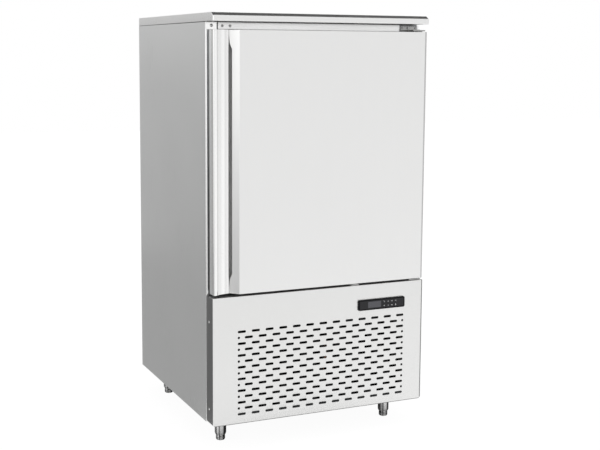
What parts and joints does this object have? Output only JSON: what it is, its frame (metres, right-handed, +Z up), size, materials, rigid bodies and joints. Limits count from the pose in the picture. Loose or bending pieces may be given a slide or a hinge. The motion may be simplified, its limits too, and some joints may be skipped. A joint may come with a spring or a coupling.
{
  "type": "blast chiller",
  "caption": "Upright stainless blast chiller with one insulated door, a folded full-height handle, a slotted lower panel with a controller, and screw feet.",
  "frame": {"origin": "on the floor, below the middle of the cabinet's width and of its depth, which runs from the nose of the top cover to the back panel", "axes": "+X to the right as seen from the front, -Y out of the front, +Z up"},
  "size_m": [0.8, 0.815, 1.465],
  "materials": {
    "stainless_sheet": "satin stainless sheet with a fine grain",
    "bright_stainless": "polished stainless steel",
    "liner_stainless": "smooth stainless liner sheet",
    "galvanised_sheet": "dull galvanised sheet",
    "black_painted_metal": "semi-gloss black paint",
    "rigid_foam": null,
    "grey_plastic": "light grey plastic",
    "black_plastic": "fine-grained black plastic",
    "smoked_lens": "clear dark violet-grey lens",
    "key_rubber": "matte black rubber keys with pale marks",
    "gasket_rubber": "dark grey soft rubber",
    "aluminium": "plain aluminium fins and blades",
    "copper": null
  },
  "bodies": {
    "cabinet": {"top_cover": "stainless_sheet", "left_side_panel": "stainless_sheet", "right_side_panel": "stainless_sheet", "back_panel": "galvanised_sheet", "base_pan": "galvanised_sheet", "front_frame": "grey_plastic", "insulation": "rigid_foam", "cabin_liner": "liner_stainless", "header_trim": "stainless_sheet", "corner_plate": "bright_stainless", "upper_hinge": "bright_stainless", "lower_hinge": "bright_stainless", "lower_panel": "stainless_sheet", "door_switch": "grey_plastic", "controller_housing": "black_plastic", "display_window": "smoked_lens", "foot_sleeve_front_left": "bright_stainless", "foot_sleeve_front_right": "bright_stainless", "foot_sleeve_rear_left": "bright_stainless", "foot_sleeve_rear_right": "bright_stainless", "rack_left": "bright_stainless", "rack_right": "bright_stainless", "evaporator_cover": "liner_stainless", "evaporator_coil": "aluminium", "evaporator_motor_lower": "black_painted_metal", "evaporator_motor_upper": "black_painted_metal", "probe_socket": "black_plastic", "condenser_coil": "aluminium", "condenser_shroud": "black_painted_metal", "condenser_motor": "black_painted_metal", "compressor": "black_painted_metal", "liquid_receiver": "black_painted_metal", "discharge_line": "copper", "suction_line": "copper", "liquid_line": "copper", "electrical_box": "galvanised_sheet", "cable_gland": "black_plastic"},
    "door": {"door_skin": "stainless_sheet", "handle_profile": "bright_stainless", "handle_channel": "liner_stainless", "door_foam": "rigid_foam", "door_inner_panel": "liner_stainless", "door_gasket": "gasket_rubber", "hinge_bush_upper": "grey_plastic", "hinge_bush_lower": "grey_plastic"},
    "stem_front_left": {"foot_stem_front_left": "bright_stainless"},
    "stem_front_right": {"foot_stem_front_right": "bright_stainless"},
    "stem_rear_left": {"foot_stem_rear_left": "bright_stainless"},
    "stem_rear_right": {"foot_stem_rear_right": "bright_stainless"},
    "condenser_fan": {"condenser_fan": "aluminium"},
    "evaporator_fan_lower": {"evaporator_fan_lower": "black_plastic"},
    "evaporator_fan_upper": {"evaporator_fan_upper": "black_plastic"},
    "key_start": {"key_start": "key_rubber"},
    "key_light": {"key_light": "key_rubber"},
    "key_up": {"key_up": "key_rubber"},
    "key_defrost": {"key_defrost": "key_rubber"},
    "key_set": {"key_set": "key_rubber"},
    "key_probe": {"key_probe": "key_rubber"},
    "key_down": {"key_down": "key_rubber"},
    "key_print": {"key_print": "key_rubber"}
  },
  "joints": [
    {"name": "door_hinge", "type": "hinge", "parent": "cabinet", "child": "door", "pos_m": [0.375, -0.3775, 0.9755], "axis": [0, 0, 1], "range_deg": [0, 110]},
    {"name": "adjust_front_left", "type": "slide", "parent": "cabinet", "child": "stem_front_left", "axis": [0, 0, -1], "range_m": [0, 0.025]},
    {"name": "adjust_front_right", "type": "slide", "parent": "cabinet", "child": "stem_front_right", "axis": [0, 0, -1], "range_m": [0, 0.025]},
    {"name": "adjust_rear_left", "type": "slide", "parent": "cabinet", "child": "stem_rear_left", "axis": [0, 0, -1], "range_m": [0, 0.025]},
    {"name": "adjust_rear_right", "type": "slide", "parent": "cabinet", "child": "stem_rear_right", "axis": [0, 0, -1], "range_m": [0, 0.025]},
    {"name": "condenser_fan_spin", "type": "hinge", "parent": "cabinet", "child": "condenser_fan", "pos_m": [-0.14, -0.225, 0.286], "axis": [0, 1, 0], "continuous": true},
    {"name": "evaporator_fan_lower_spin", "type": "hinge", "parent": "cabinet", "child": "evaporator_fan_lower", "pos_m": [0, 0.192, 0.785], "axis": [0, 1, 0], "continuous": true},
    {"name": "evaporator_fan_upper_spin", "type": "hinge", "parent": "cabinet", "child": "evaporator_fan_upper", "pos_m": [0, 0.192, 1.165], "axis": [0, 1, 0], "continuous": true},
    {"name": "press_start", "type": "slide", "parent": "cabinet", "child": "key_start", "axis": [0, 1, 0], "range_m": [0, 0.0008], "stiffness_N_per_m": 800},
    {"name": "press_light", "type": "slide", "parent": "cabinet", "child": "key_light", "axis": [0, 1, 0], "range_m": [0, 0.0008], "stiffness_N_per_m": 800},
    {"name": "press_up", "type": "slide", "parent": "cabinet", "child": "key_up", "axis": [0, 1, 0], "range_m": [0, 0.0008], "stiffness_N_per_m": 800},
    {"name": "press_defrost", "type": "slide", "parent": "cabinet", "child": "key_defrost", "axis": [0, 1, 0], "range_m": [0, 0.0008], "stiffness_N_per_m": 800},
    {"name": "press_set", "type": "slide", "parent": "cabinet", "child": "key_set", "axis": [0, 1, 0], "range_m": [0, 0.0008], "stiffness_N_per_m": 800},
    {"name": "press_probe", "type": "slide", "parent": "cabinet", "child": "key_probe", "axis": [0, 1, 0], "range_m": [0, 0.0008], "stiffness_N_per_m": 800},
    {"name": "press_down", "type": "slide", "parent": "cabinet", "child": "key_down", "axis": [0, 1, 0], "range_m": [0, 0.0008], "stiffness_N_per_m": 800},
    {"name": "press_print", "type": "slide", "parent": "cabinet", "child": "key_print", "axis": [0, 1, 0], "range_m": [0, 0.0008], "stiffness_N_per_m": 800}
  ]
}
